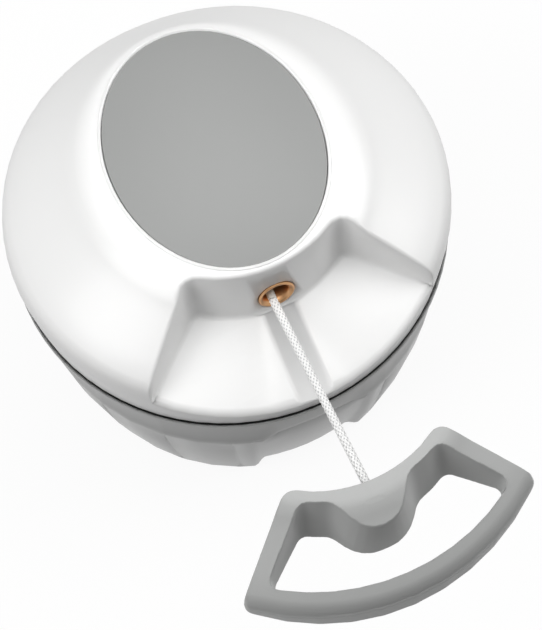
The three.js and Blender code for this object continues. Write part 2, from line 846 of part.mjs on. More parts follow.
// The finger opening at a share of the handle's height, with the tongue that holds the knot.
// Its inner end, its sides and the tongue close in downwards.
function openingOutline(share) {
  const inset = -handleClearance - openingSideWall;
  const fall = (draft, point) => draft * (1 - share) * handleWall(point);
  const highInner = sideMeets(openingInnerRadius, inset);
  const highOuter = sideMeets(openingOuterRadius, inset);
  const highTip = new THREE.Vector2(0, -tongueTipReach);
  const innerRadius = openingInnerRadius + fall(openingDraft, highInner);
  const inner = sideMeets(innerRadius, inset - fall(openingSideDraft, highInner));
  const outer = sideMeets(openingOuterRadius, inset - fall(openingSideDraft, highOuter));
  const rootHalfWidth = tongueRootHalfWidth + fall(tongueSideDraft, highInner);
  const tipHalfWidth = tongueTipHalfWidth + fall(tongueSideDraft, highTip);
  const tipReach = tongueTipReach + fall(tongueTipDraft, highTip);
  const halfCorners = (sense) => {
    const onSide = (point) => new THREE.Vector2(sense * point.x, point.y);
    const rootShift = tongueShift + sense * rootHalfWidth;
    const root = new THREE.Vector2(rootShift, -Math.sqrt(innerRadius ** 2 - rootShift ** 2));
    const side = openingSideShares.map((along) => onSide(inner.clone().lerp(outer, along)));
    return [
      { at: onSide(outer), round: openingOuterRound },
      ...side.reverse().map((at) => ({ at, round: 0 })),
      { at: onSide(inner), round: openingInnerRound },
      { at: onSide(inner).add(root).setLength(innerRadius), round: 0 },
      { at: root, round: tongueRootRound },
      {
        at: new THREE.Vector2(tongueShift + sense * tipHalfWidth, -tipReach),
        round: tongueTipRoundShare * tipHalfWidth,
      },
    ];
  };
  return roundedOutline([
    ...frontArc(outer, openingOuterRound, 10, true),
    ...halfCorners(1),
    ...halfCorners(-1).reverse(),
  ]);
}

const handleTop = (point) =>
  domeHeight(point.clone().clampLength(0, lidRadius - handleTopInset)) - handleTopDrop;
const handleBottom = (point) => recessFloor(point) + runningGap;

// Levels of a handle outline: rounded bottom edge, drafted wall and rounded top edge.
// A sense of 1 is for the outside and -1 for the opening.
function handleLevels(outlineAt, sense) {
  const edge = [0, 0.5, 1];
  const level = (outline, inset, heightAt) =>
    offsetOutline(outline, () => -sense * inset).map((p) => lifted(p, heightAt(p)));
  const bottom = edge.map((share) => {
    const angle = (share * Math.PI) / 2;
    const rise = handleFootRound * (1 - Math.cos(angle));
    const inset = handleFootRound * (1 - Math.sin(angle));
    return level(outlineAt(0), inset, (p) => handleBottom(p) + rise);
  });
  const top = edge.map((share) => {
    const angle = (share * Math.PI) / 2;
    const drop = handleEdgeRound * (1 - Math.sin(angle));
    const inset = handleEdgeRound * (1 - Math.cos(angle));
    return level(outlineAt(1), inset, (p) => handleTop(p) - drop);
  });
  return [...bottom, ...top];
}

function pullHandle() {
  const outside = handleLevels(handleOutline, 1);
  const opening = handleLevels(openingOutline, -1);
  const cordHole = rod(
    cordDiameter / 2 + cordHoleClearance,
    recessInnerRadius - cutOverrun,
    knotReach,
  )
    .rotate([90, 0, 0])
    .translate([cordEntryShift, 0, cordEntryLevel]);
  const pocketTop = cordEntryLevel + knotRadius + fitGap;
  const pocketFloor = handleBottom(new THREE.Vector2(0, -tongueTipReach)) - cutOverrun;
  const pocket = rod(knotPocketRadius, pocketFloor, pocketTop).translate([cordEntryShift, -knotReach, 0]);
  return framed(outside, opening)
    .subtract(cordHole)
    .subtract(pocket)
    .translate([0, -handleDraw, 0]);
}

// Cord: the free stretch, its knotted end in the handle, and what winds on the spool

const cordRadius = cordDiameter / 2;
const cordExitReach = eyeletReach + eyeletProud;
const freeCordStart = new THREE.Vector3(
  cordSideShift,
  -cordExitReach - fitGap,
  eyeletLevel - cordExitDrop,
);
const cordEntryLevel = seamHeight + cordEntryHeight;
const freeCordEnd = new THREE.Vector3(
  cordEntryShift,
  -wallReach(cordEntryLevel) - handleClearance - handleDraw,
  cordEntryLevel,
);

function pullCord() {
  const length = freeCordStart.distanceTo(freeCordEnd);
  const steps = Math.ceil(length / (2 * cordDiameter));
  return tube(new THREE.LineCurve3(freeCordStart, freeCordEnd), cordRadius, steps, cordSides);
}

function cordKnot() {
  const start = new THREE.Vector3(cordEntryShift, freeCordEnd.y - fitGap, freeCordEnd.z);
  const end = new THREE.Vector3(cordEntryShift, -knotReach - handleDraw, freeCordEnd.z);
  const stub = tube(new THREE.LineCurve3(start, end), cordRadius, 2, cordSides);
  const ball = new THREE.SphereGeometry(knotRadius, 12, 8);
  ball.translate(end.x, end.y, end.z);
  return stub.add(solidFrom(ball));
}

const spoolMiddle = eyeletLevel;
const windingRadius = spoolDrumRadius + cordRadius + fitGap;
const windingPitch = cordDiameter + cordTurnGap;
const windingTop = spoolMiddle + (cordTurns * windingPitch) / 2;

// Where the cord leaves the drum, on a tangent through the eyelet
const cordGuide = new THREE.Vector2(cordGuideShift, -eyeletReach + eyeletTubeLength);
const leavingBearing =
  Math.atan2(cordGuide.x, -cordGuide.y) - Math.acos(windingRadius / cordGuide.length());

class WindingCurve extends THREE.Curve {
  getPoint(share, target = new THREE.Vector3()) {
    const turns = (1 - share) * cordTurns;
    const point = onBearing(windingRadius, leavingBearing - turns * 2 * Math.PI);
    return target.set(point.x, point.y, windingTop - turns * windingPitch);
  }
}

const windingSteps = 24;
const windingSides = 6;

// Least gap between two turns of the winding, measured on points of its centre line
function windingGap() {
  const curve = new WindingCurve();
  const points = curve.getPoints(Math.round(cordTurns * windingSteps));
  let least = Infinity;
  points.forEach((point, i) => {
    for (const other of points.slice(i + windingSteps / 2)) {
      least = Math.min(least, point.distanceTo(other) - cordDiameter);
    }
  });
  return least;
}

function cordWinding() {
  console.log(`least gap between turns of the winding: ${windingGap().toFixed(2)} mm`);
  return tube(new WindingCurve(), cordRadius, Math.round(cordTurns * windingSteps), windingSides);
}

// The run inside the lid starts clear of the turns that pass its tangent point
function cordLead() {
  const tangent = onBearing(windingRadius, leavingBearing);
  const clear = Math.sqrt((windingRadius + cordDiameter + fitGap) ** 2 - windingRadius ** 2);
  const direction = cordGuide.clone().sub(tangent).normalize();
  const share = clear / cordGuide.distanceTo(tangent);
  const start = tangent.clone().addScaledVector(direction, clear);
  const end = new THREE.Vector3(cordSideShift, -cordExitReach, freeCordStart.z);
  const guide = new THREE.Vector3(cordGuide.x, cordGuide.y, freeCordStart.z);
  const startLevel = mix(windingTop, guide.z, share);
  const curve = new THREE.QuadraticBezierCurve3(
    new THREE.Vector3(start.x, start.y, startLevel),
    guide,
    end,
  );
  return tube(curve, cordRadius, 10, cordSides);
}

// Spool and the parts it turns on

const spoolLow = spoolMiddle - spoolDrumWidth / 2;
const spoolHigh = spoolMiddle + spoolDrumWidth / 2;
const spoolBottom = spoolLow - spoolFlangeThickness - spoolHubDrop;
const spoolTop = spoolHigh + spoolFlangeThickness + spoolNoseHeight;
const hexFlatShare = Math.cos(Math.PI / hexSides);
const hexGap = fitGap / hexFlatShare;
const axlePinTop = ceilingLevel + axlePinEmbed;
const axlePinBottom = axlePinTop - axlePinLength;
const shaftTop = axlePinBottom - 2 * fitGap;

function cordSpool() {
  const body = turned(
    [
      [0, spoolBottom],
      [spoolHubRadius, spoolBottom],
      [spoolHubRadius, spoolLow - spoolFlangeThickness],
      [spoolFlangeRadius, spoolLow - spoolFlangeThickness],
      [spoolFlangeRadius, spoolLow],
      [spoolDrumRadius, spoolLow],
      [spoolDrumRadius, spoolHigh],
      [spoolFlangeRadius, spoolHigh],
      [spoolFlangeRadius, spoolHigh + spoolFlangeThickness],
      [spoolNoseRadius, spoolHigh + spoolFlangeThickness],
      [spoolNoseRadius, spoolTop],
      [0, spoolTop],
    ],
    coarseSegments,
  );
  const hexBore = rod(shaftHexRadius + hexGap, spoolBottom - cutOverrun, shaftTop + fitGap, hexSides);
  const pinBore = rod(axlePinRadius + fitGap, spoolBottom, spoolTop + cutOverrun);
  return body.subtract(hexBore).subtract(pinBore);
}

const baseBottom = seamHeight - baseBottomDrop;
const couplerTop = baseBottom - fitGap;
const couplerBottom = couplerTop - couplerDepth;

function driveShaft() {
  const coupler = turned(
    [
      [0, couplerBottom],
      [couplerRadius - couplerChamfer, couplerBottom],
      [couplerRadius, couplerBottom + couplerChamfer],
      [couplerRadius, couplerTop],
      [shaftRadius, couplerTop],
      [shaftRadius, spoolBottom],
      [0, spoolBottom],
    ],
    coarseSegments,
  );
  const hexagon = rod(shaftHexRadius, spoolBottom - cutOverrun / 4, shaftTop, hexSides);
  const socket = rod(couplerHexRadius, couplerBottom - cutOverrun, couplerTop - baseWall, hexSides);
  return coupler.add(hexagon).subtract(socket);
}

const axlePin = () => rod(axlePinRadius, axlePinBottom, axlePinTop);

// Lid base with its plug, flange, shaft boss, spring wall and screw pads

const baseFloor = baseBottom + baseWall;
const baseFlangeBottom = seamHeight - seamGap / 2 + lipHeight + fitGap;
const baseFlangeTop = baseFlangeBottom + baseFlangeThickness;
const baseBossTop = baseBottom + baseBossHeight;
const springWallTop = baseBottom + baseSpringWallHeight;
const grooveLow = baseBottom + (baseFlangeBottom - baseBottom) / 2 - sealHeight / 2 - fitGap;
const grooveHigh = grooveLow + sealHeight + 2 * fitGap;
const grooveRadius = basePlugRadius - sealDepth - fitGap;
const bushingRadius = shaftRadius + fitGap + bushingWall;

function lidBase() {
  const plate = turned(
    [
      [bushingRadius + fitGap, baseBottom],
      [basePlugRadius, baseBottom],
      [basePlugRadius, grooveLow],
      [grooveRadius, grooveLow],
      [grooveRadius, grooveHigh],
      [basePlugRadius, grooveHigh],
      [basePlugRadius, baseFlangeBottom],
      [baseFlangeRadius, baseFlangeBottom],
      [baseFlangeRadius, baseFlangeTop],
      [grooveRadius - baseWall, baseFlangeTop],
      [grooveRadius - baseWall, baseFloor],
      [baseSpringWallRadius, baseFloor],
      [baseSpringWallRadius, springWallTop],
      [baseSpringWallRadius - baseSpringWallThickness, springWallTop],
      [baseSpringWallRadius - baseSpringWallThickness, baseFloor],
      [baseBossRadius, baseFloor],
      [baseBossRadius, baseBossTop],
      [bushingRadius + fitGap, baseBossTop],
    ],
    fineSegments,
  );
  const pads = screwPoints.map((p) =>
    rod(screwPadRadius, baseBottom, baseBottom + screwPadHeight).translate([p.x, p.y, 0]),
  );
  const headSeat = baseBottom + screwHeadHeight + 2 * fitGap;
  const holes = screwPoints.map((p) =>
    rod(screwHeadRadius + fitGap, baseBottom - cutOverrun, headSeat)
      .add(rod(screwBore, baseBottom, baseBottom + screwPadHeight + cutOverrun))
      .translate([p.x, p.y, 0]),
  );
  return plate.add(joined(pads)).subtract(joined(holes));
}

function sealRing() {
  const low = grooveLow + fitGap;
  const inner = grooveRadius + fitGap;
  return turned(
    [
      [inner, low],
      [inner + sealDepth, low],
      [inner + sealDepth + sealLip, low + sealHeight / 3],
      [inner + sealDepth, low + (2 * sealHeight) / 3],
      [inner + sealDepth, low + sealHeight],
      [inner, low + sealHeight],
    ],
    fineSegments,
  );
}

const bushingTop = baseBossTop + fitGap + bushingFlangeThickness;

function shaftBushing() {
  return turned(
    [
      [shaftRadius + fitGap, baseBottom + fitGap],
      [bushingRadius, baseBottom + fitGap],
      [bushingRadius, baseBossTop + fitGap],
      [bushingFlangeRadius, baseBossTop + fitGap],
      [bushingFlangeRadius, bushingTop],
      [shaftRadius + fitGap, bushingTop],
    ],
    coarseSegments,
  );
}

function thrustWasher() {
  const low = bushingTop + fitGap;
  return turned(
    [
      [shaftRadius + fitGap, low],
      [washerRadius, low],
      [washerRadius, low + washerThickness],
      [shaftRadius + fitGap, low + washerThickness],
    ],
    coarseSegments,
  );
}

const springCupBottom = springWallTop + fitGap;
const springBottom = springCupBottom + springCupFloor + fitGap;
const springOuterRadius = springCupRadius - springCupWall - fitGap;
const springInnerRadius = spoolHubRadius + fitGap;

function springCup() {
  return turned(
    [
      [shaftHexRadius + runningGap, springCupBottom],
      [springCupRadius, springCupBottom],
      [springCupRadius, springCupBottom + springCupDepth],
      [springCupRadius - springCupWall, springCupBottom + springCupDepth],
      [springCupRadius - springCupWall, springCupBottom + springCupFloor],
      [shaftHexRadius + runningGap, springCupBottom + springCupFloor],
    ],
    coarseSegments,
  );
}

// Flat spiral strip from the spool's hub out to the cup's wall
function recoilSpring() {
  const steps = springTurns * smallSegments;
  const side = (shift) =>
    Array.from({ length: steps + 1 }, (_, i) => {
      const share = i / steps;
      const radius = mix(springInnerRadius, springOuterRadius - springThickness, share) + shift;
      return onBearing(radius, share * springTurns * 2 * Math.PI);
    });
  const outline = [...side(springThickness), ...side(0).reverse()];
  return prism(outline, springBottom, springBottom + springWidth);
}

function lidScrew(point) {
  const headTop = baseBottom + screwHeadHeight + fitGap;
  return turned(
    [
      [0, headTop - screwHeadHeight],
      [screwHeadRadius * 0.8, headTop - screwHeadHeight],
      [screwHeadRadius, headTop - screwHeadHeight * 0.6],
      [screwHeadRadius, headTop],
      [screwShankRadius, headTop],
      [screwShankRadius, headTop + screwLength],
      [0, headTop + screwLength + screwShankRadius],
    ],
    smallSegments,
  ).translate([point.x, point.y, 0]);
}

// Bowl

const bowlTop = seamHeight - seamGap / 2;
const bowlDepth = seamHeight - bowlFootHeight;
const panelEdge = panelHalfAngle + panelEdgeAngle;

// Degrees from the middle of the nearer grip panel, front or back
function fromPanel(degrees) {
  const turn = THREE.MathUtils.euclideanModulo(degrees, 180);
  return Math.min(turn, 180 - turn);
}

const flutePitch = (180 - 2 * fluteFirstBearing) / flutesPerSide;

// Drop of the grip panel's arched top edge below the seam
const archDrop = (degrees) =>
  panelTopDrop + panelArch * Math.min(1, fromPanel(degrees) / panelHalfAngle) ** 3;
const archFoot = panelTopDrop + panelArch;

// Half angle of a flute, which widens towards the foot
const fluteHalfAngle = (drop) =>
  mix(fluteTopHalfAngle, fluteFootHalfAngle, THREE.MathUtils.clamp((drop - archFoot) / (bowlDepth - archFoot), 0, 1));

function bowlRadius(degrees, drop, withFlutes) {
  const body = bowlTopRadius - bowlTaper * (drop / bowlDepth) ** 2;
  const neck = neckInset * (1 - smooth(archFoot - shoulderHeight, archFoot, drop));
  const away = fromPanel(degrees);
  const below = drop - archDrop(degrees);
  const side = 1 - smooth(panelHalfAngle, panelEdge, away);
  const depth = mix(panelTopStep, panelFootInset, Math.max(0, below) / (bowlDepth - panelTopDrop));
  const inset = side * smooth(0, panelStepHeight, below) * depth;
  let flute = 0;
  if (withFlutes && away > panelEdge) {
    const near = Math.abs(((away - fluteFirstBearing + flutePitch / 2) % flutePitch) - flutePitch / 2);
    const fade = smooth(0, fluteFade, drop - archFoot) * (1 - smooth(bowlDepth - fluteFade, bowlDepth, drop));
    flute = fluteDepth * fade * Math.max(0, 1 - near / fluteHalfAngle(drop));
  }
  return body - neck - inset - flute;
}

// Bearings of the bowl's columns at a level: close together at panel edges and flutes
function bowlBearings(drop, withFlutes) {
  const half = [];
  const panelShares = [-1, -0.7, -0.35, 0, 0.35, 0.7, 1];
  for (const share of panelShares) half.push(share * panelHalfAngle);
  const edgeShares = [1, 2].map((i) => i / 3);
  for (const share of edgeShares) half.push(mix(panelHalfAngle, panelEdge, share));
  half.push(panelEdge);
  for (let i = 0; i <= flutesPerSide; i++) {
    const middle = fluteFirstBearing + i * flutePitch;
    if (withFlutes) half.push(middle - fluteHalfAngle(drop), middle, middle + fluteHalfAngle(drop));
    else half.push(middle);
    if (i < flutesPerSide) half.push(middle + flutePitch / 2);
  }
  half.push(180 - panelEdge);
  for (const share of edgeShares) half.push(180 - mix(panelEdge, panelHalfAngle, share));
  return [...half, ...half.map((bearing) => bearing + 180)];
}

// A loop of the bowl's wall. Its drop below the seam may follow the arch of the panels.
function bowlRing(dropAt, radiusAt, withFlutes) {
  return bowlBearings(dropAt(0), withFlutes).map((degrees) => {
    const point = onBearing(radiusAt(degrees, dropAt(degrees)), radians(degrees));
    return lifted(point, seamHeight - dropAt(degrees));
  });
}

const level = (drop) => () => drop;
const underArch = (distance) => (degrees) => archDrop(degrees) + distance;

// Levels of the bowl's wall, from the foot up
const lowerWallShare = 0.33;
const upperWallShare = 0.6;
const shoulderShare = 0.4;
const upperWallRow = level(mix(bowlDepth, archFoot, upperWallShare));
const lowArchRow = underArch(3 * fluteFade);
const fluteTopRow = underArch(fluteFade);
const shoulderRow = underArch(-shoulderShare * shoulderHeight);
const bowlRows = [
  level(bowlDepth),
  level(bowlDepth - fluteFade / 2),
  level(bowlDepth - fluteFade),
  level(mix(bowlDepth, archFoot, lowerWallShare)),
  upperWallRow,
];
const archRows = [lowArchRow, fluteTopRow, underArch(fluteFade / 2), underArch(panelStepHeight), underArch(0)];
const neckRows = [shoulderRow, underArch(-shoulderHeight), level(neckHeight)];
const hiddenBowlRows = [upperWallRow, lowArchRow, fluteTopRow, shoulderRow, level(neckHeight)];

function foodBowl() {
  const outside = (degrees, drop) => bowlRadius(degrees, drop, true);
  const rows = [...bowlRows, ...archRows, ...neckRows];
  const outer = rows.map((row) => bowlRing(row, outside, true));
  const footInset = (inset) => (degrees, drop) => bowlRadius(degrees, Math.min(drop, bowlDepth), true) - inset;
  const foot = [
    bowlRing(level(seamHeight - bowlUndersideHeight), footInset(bowlFootRound + neckInset), true),
    bowlRing(level(seamHeight - bowlUndersideHeight - bowlFootRound / 3), footInset(bowlFootRound / 3), true),
  ];
  const top = bowlRing(level(seamGap / 2 + flangeThickness / 2), outside, true);
  const wall = stacked([...foot, ...outer, top]);

  const inside = (degrees, drop) => bowlRadius(degrees, drop, false) - bowlWall;
  const floorDrop = seamHeight - bowlFloorHeight;
  const floorInset = (inset) => (degrees) => inside(degrees, floorDrop) - inset;
  const mouthDrop = seamGap / 2 + 2 * flangeThickness;
  const cavity = stacked([
    bowlRing(level(floorDrop), floorInset(bowlFootRound), false),
    bowlRing(level(floorDrop - bowlFootRound / 4), floorInset(bowlFootRound / 4), false),
    ...hiddenBowlRows.map((row) => bowlRing(row, inside, false)),
    bowlRing(level(mouthDrop), () => mouthRadius, false),
    bowlRing(level(seamGap / 2 - lipHeight - cutOverrun), () => mouthRadius, false),
  ]);
  const grooveRadius = lidRadius - flangeBead;
  const rim = turned(
    [
      [mouthRadius - fitGap, bowlTop - flangeThickness],
      [lidRadius - flangeRound, bowlTop - flangeThickness],
      [lidRadius, bowlTop - flangeThickness + flangeRound],
      [lidRadius, bowlTop - flangeRound],
      [lidRadius - flangeRound, bowlTop],
      [grooveRadius, bowlTop],
      [grooveRadius, bowlTop - flangeGroove],
      [lipRadius, bowlTop - flangeGroove],
      [lipRadius, bowlTop + lipHeight],
      [mouthRadius - fitGap, bowlTop + lipHeight],
    ],
    rimSegments,
  );
  const boss = rod(pinBossRadius, bowlFloorHeight - bowlWall / 2, bowlFloorHeight + pinBossHeight, coarseSegments);
  const pinHole = rod(pinRadius + fitGap, pinBottom - fitGap, bowlFloorHeight + pinBossHeight + cutOverrun);
  const padSeat = rod(padRadius + fitGap, -cutOverrun, padThickness + fitGap, fineSegments);
  return wall.add(rim).subtract(cavity).add(boss).subtract(pinHole).subtract(padSeat);
}

const pinBottom = bowlFloorHeight + pinBossHeight - pinSeatDepth;
const pinTop = pinBottom + pinHeight;

function pivotPin() {
  const nose = pinRadius / 2;
  return turned(
    [
      [0, pinBottom],
      [pinRadius, pinBottom],
      [pinRadius, pinTop - nose],
      [pinRadius * 0.7, pinTop - nose * 0.3],
      [0, pinTop],
    ],
    smallSegments,
  );
}

function basePad() {
  const round = padThickness / 4;
  return turned(
    [
      [0, 0],
      [padRadius - round, 0],
      [padRadius, round],
      [padRadius, padThickness],
      [0, padThickness],
    ],
    fineSegments,
  );
}

// Blade unit

const hubBottom = bowlFloorHeight + pinBossHeight + runningGap;
const hubTop = couplerBottom - hubTopGap;
const bladeHeights = bladeSpreadShares.map((share) =>
  mix(hubBottom + lowerBladeLift, hubTop - upperBladeDrop, share),
);

// Plan of a blade along its length, as shares of its reach and width
const bladeEdgeShares = [[0, -0.3], [0.2, -0.42], [0.5, -0.5], [0.78, -0.34], [0.93, -0.02], [1, 0.5]];
const bladeBackShares = [[0.86, 0.44], [0.66, 0.24], [0.42, 0.16], [0.2, 0.2], [0, 0.3]];

function bladeOutline() {
  const length = bladeReach - bladeRootRadius;
  const spot = ([along, across]) => new THREE.Vector2(bladeRootRadius + along * length, across * bladeWidth);
  const shape = new THREE.Shape();
  shape.moveTo(...spot(bladeEdgeShares[0]).toArray());
  shape.splineThru(bladeEdgeShares.slice(1).map(spot));
  shape.splineThru(bladeBackShares.map(spot));
  shape.closePath();
  const points = shape.getPoints(3);
  const last = points[points.length - 1];
  if (last.distanceTo(points[0]) < fitGap / 2) points.pop();
  return points;
}

// A flat blade whose convex edge is ground to a bevel on its upper side
function blade(bearing, height) {
  const outline = bladeOutline();
  const tip = bladeRootRadius + (bladeReach - bladeRootRadius) * bladeEdgeShares[1][0];
  const ground = offsetOutline(outline, (p) => (p.y < 0 && p.x > tip ? -bladeGrind : 0));
  const at = (points, z) => points.map((p) => lifted(p, z));
  const solid = stacked([
    at(outline, height - bladeThickness / 2),
    at(outline, height - bladeThickness / 4),
    at(ground, height + bladeThickness / 2),
  ]);
  return solid.rotate([0, 0, bearing - 90]);
}

function bladeHub() {
  const collars = bladeHeights.map((height) =>
    turned(
      [
        [0, height - hubCollarHeight / 2],
        [hubCollarRadius - hubCollarChamfer, height - hubCollarHeight / 2],
        [hubCollarRadius, height - hubCollarHeight / 2 + hubCollarChamfer],
        [hubCollarRadius, height + hubCollarHeight / 2 - hubCollarChamfer],
        [hubCollarRadius - hubCollarChamfer, height + hubCollarHeight / 2],
        [0, height + hubCollarHeight / 2],
      ],
      coarseSegments,
    ),
  );
  const stem = turned(
    [[0, hubBottom], [hubFootRadius, hubBottom], [hubTopRadius, hubTop], [0, hubTop]],
    coarseSegments,
  );
  const post = rod(drivePostHexRadius, hubTop - fitGap, hubTop + drivePostHeight, hexSides);
  const bore = rod(pinRadius + fitGap, hubBottom - cutOverrun, hubBottom + hubBoreDepth);
  const slots = bladeHeights.map((height, i) => {
    const outline = offsetOutline(bladeOutline(), () => fitGap);
    const half = bladeThickness / 2 + fitGap;
    return prism(outline, height - half, height + half).rotate([0, 0, bladeBearings[i] - 90]);
  });
  return joined([stem, ...collars, post]).subtract(bore).subtract(joined(slots));
}

// The assembly

const chopper = new THREE.Group();

function addPiece(name, solid, material) {
  const mesh = new THREE.Mesh(geometryFrom(solid), material);
  mesh.name = name;
  chopper.add(mesh);
}

addPiece("bowl", foodBowl(), bowlPlastic);
addPiece("base_pad", basePad(), padRubber);
addPiece("pivot_pin", pivotPin(), steel);
addPiece("blade_hub", bladeHub(), mechanismPlastic);
["blade_lower", "blade_middle", "blade_upper"].forEach((name, i) => {
  addPiece(name, blade(bladeBearings[i], bladeHeights[i]), steel);
});
addPiece("lid_shell", lidShell(), whitePlastic);
addPiece("cap_disc", capDisc(), capPlastic);
addPiece("cord_eyelet", cordEyelet(), copperAlloy);
addPiece("lid_base", lidBase(), mechanismPlastic);
addPiece("seal_ring", sealRing(), sealRubber);
addPiece("shaft_bushing", shaftBushing(), copperAlloy);
addPiece("thrust_washer", thrustWasher(), steel);
addPiece("spring_cup", springCup(), mechanismPlastic);
addPiece("recoil_spring", recoilSpring(), steel);
addPiece("axle_pin", axlePin(), steel);
screwPoints.forEach((point, i) => addPiece(`lid_screw_${i + 1}`, lidScrew(point), steel));
addPiece("cord_lead", cordLead(), braid);
addPiece("cord_spool", cordSpool(), mechanismPlastic);
addPiece("cord_winding", cordWinding(), braid);
addPiece("drive_shaft", driveShaft(), mechanismPlastic);
addPiece("pull_handle", pullHandle(), handlePlastic);
addPiece("cord_knot", cordKnot(), braid);
addPiece("pull_cord", pullCord(), braid);

export default chopper;
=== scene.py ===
# %% [markdown]
# A pull-cord food chopper seen from above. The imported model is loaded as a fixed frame: it says
# where every piece is and how it moves. Everything below dresses that frame, in metres, with +Z
# up and the handle pulled along -Y.

import json
import math

import bmesh
import bpy
from mathutils import Matrix, Vector


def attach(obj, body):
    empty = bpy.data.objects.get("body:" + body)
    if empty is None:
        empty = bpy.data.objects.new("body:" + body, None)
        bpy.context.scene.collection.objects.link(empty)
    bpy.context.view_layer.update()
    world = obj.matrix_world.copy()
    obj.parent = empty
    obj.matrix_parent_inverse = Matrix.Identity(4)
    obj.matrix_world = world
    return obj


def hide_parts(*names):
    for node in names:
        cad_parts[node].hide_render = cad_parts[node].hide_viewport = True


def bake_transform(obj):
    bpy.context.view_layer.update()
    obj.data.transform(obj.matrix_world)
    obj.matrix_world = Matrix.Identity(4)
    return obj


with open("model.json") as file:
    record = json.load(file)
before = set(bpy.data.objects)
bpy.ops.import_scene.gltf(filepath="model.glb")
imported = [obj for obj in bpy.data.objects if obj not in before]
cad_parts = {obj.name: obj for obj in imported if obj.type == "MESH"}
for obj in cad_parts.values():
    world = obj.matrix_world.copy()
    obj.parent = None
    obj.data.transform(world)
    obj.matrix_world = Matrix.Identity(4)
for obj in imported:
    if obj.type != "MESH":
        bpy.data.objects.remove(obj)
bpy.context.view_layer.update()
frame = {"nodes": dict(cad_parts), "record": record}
MM = 0.001
print("pieces in the frame:", len(frame["nodes"]))

# %% [markdown]
# The camera stands above and to the left of the handle and looks down steeply. Three turns and a
# place describe it, and a long lens gives the mild perspective of a product photograph. A camera
# can also be aimed at an empty, but then its roll is hard to set, and here the chopper stands a
# little turned in the picture. Making the camera first means that every later piece can be judged
# in the same view.

# %% Camera
sight_turns = (-0.3870, -0.0399, 0.4100)
sight_place = Vector((-0.05474, -0.20028, 0.49627))
lens_mm = 91.43
sensor_mm = 36
nearest_seen = 0.01

axes_in_view = (
    Matrix.Rotation(sight_turns[0], 3, "X")
    @ Matrix.Rotation(sight_turns[1], 3, "Y")
    @ Matrix.Rotation(sight_turns[2], 3, "Z")
)
camera_data = bpy.data.cameras.new("camera")
camera_data.lens = lens_mm
camera_data.sensor_width = sensor_mm
camera_data.clip_start = nearest_seen
camera = bpy.data.objects.new("camera", camera_data)
bpy.context.scene.collection.objects.link(camera)
camera.matrix_world = Matrix.Translation(sight_place) @ axes_in_view.transposed().to_4x4()
bpy.context.scene.camera = camera
print("camera at", [round(v, 3) for v in sight_place])

# %% [markdown]
# Shader maths could be built by hand, one Math node and one link at a time, but it reads best as
# plain expressions. A Signal wraps the output of a node, so that adding or multiplying two of
# them adds the Math node that does it.


# %% Signals
class Signal:
    """The number, colour or vector that a node gives at each point of a surface."""

    def __init__(self, recipe, socket):
        self.recipe = recipe
        self.socket = socket

    def __add__(self, other):
        return self.recipe.maths("ADD", self, other)

    def __sub__(self, other):
        return self.recipe.maths("SUBTRACT", self, other)

    def __rsub__(self, other):
        return self.recipe.maths("SUBTRACT", other, self)

    def __mul__(self, other):
        return self.recipe.maths("MULTIPLY", self, other)

    def __mod__(self, other):
        return self.recipe.maths("FLOORED_MODULO", self, other)

    def __gt__(self, other):
        return self.recipe.maths("GREATER_THAN", self, other)

    __radd__ = __add__
    __rmul__ = __mul__


print("signals ready")

# %% [markdown]
# A Recipe holds the nodes of one material, or of the world. Its node method makes any kind of
# node from its settings and the values or links of its sockets, and the methods after it name the
# few kinds that every finish of the chopper uses.


# %% Recipes
class Recipe:
    """The nodes of one material or world."""

    def __init__(self, owner, shader):
        owner.use_nodes = True
        self.owner = owner
        self.tree = owner.node_tree
        self.shader = self.tree.nodes[shader]

    def feed(self, socket, value):
        if isinstance(value, Signal):
            self.tree.links.new(value.socket, socket)
        elif value is not None:
            socket.default_value = value

    def node(self, kind, output=0, settings=None, **inputs):
        made = self.tree.nodes.new(kind)
        for name, value in (settings or {}).items():
            setattr(made, name, value)
        for name, value in inputs.items():
            numbered = name[0] == "i" and name[1:].isdigit()
            key = int(name[1:]) if numbered else name.replace("_", " ")
            self.feed(made.inputs[key], value)
        return Signal(self, made.outputs[output])

    def maths(self, operation, first, second=None):
        return self.node("ShaderNodeMath", settings={"operation": operation}, i0=first, i1=second)

    def place(self):
        return self.node("ShaderNodeTexCoord", output="Object")

    def noise(self, scale, detail, where=None):
        place = where or self.place()
        return self.node("ShaderNodeTexNoise", Vector=place, Scale=scale, Detail=detail)

    def between(self, share, low, high):
        return self.node("ShaderNodeMapRange", Value=share, To_Min=low, To_Max=high)

    def colour(self, value):
        return value if isinstance(value, Signal) else (*value, 1.0)

    def colours(self, share, low, high):
        blend = {"data_type": "RGBA"}
        ends = {"i6": self.colour(low), "i7": self.colour(high)}
        return self.node("ShaderNodeMix", output=2, settings=blend, i0=share, **ends)

    def bump(self, height, depth, strength):
        return self.node("ShaderNodeBump", Strength=strength, Distance=depth, Height=height)

    def finish(self, **inputs):
        for name, value in inputs.items():
            self.feed(self.shader.inputs[name.replace("_", " ")], value)
        return self.owner


def new_material(name):
    return Recipe(bpy.data.materials.new(name), "Principled BSDF")


print("recipes ready")

# %% [markdown]
# The photograph has a white ground. Brighter lamps would make a floor white, but they would bleach
# the lid too. So the lamps stay at a plain level, and what the camera, glossy and clear surfaces
# see of the floor is mixed from its lit paper and an even glow. The paper's part keeps the shadow.
# To all other light the paper is dark, so that it throws little light up under the rim.

# %% Studio floor
WHITE = (1.0, 1.0, 1.0)
SEEN_RAYS = ("Is Camera Ray", "Is Glossy Ray", "Is Transmission Ray")
floor_width = 6.0
floor_whiteness = 0.92
paper_seen = (0.9, 0.9, 0.9)
paper_unseen = (0.05, 0.05, 0.05)


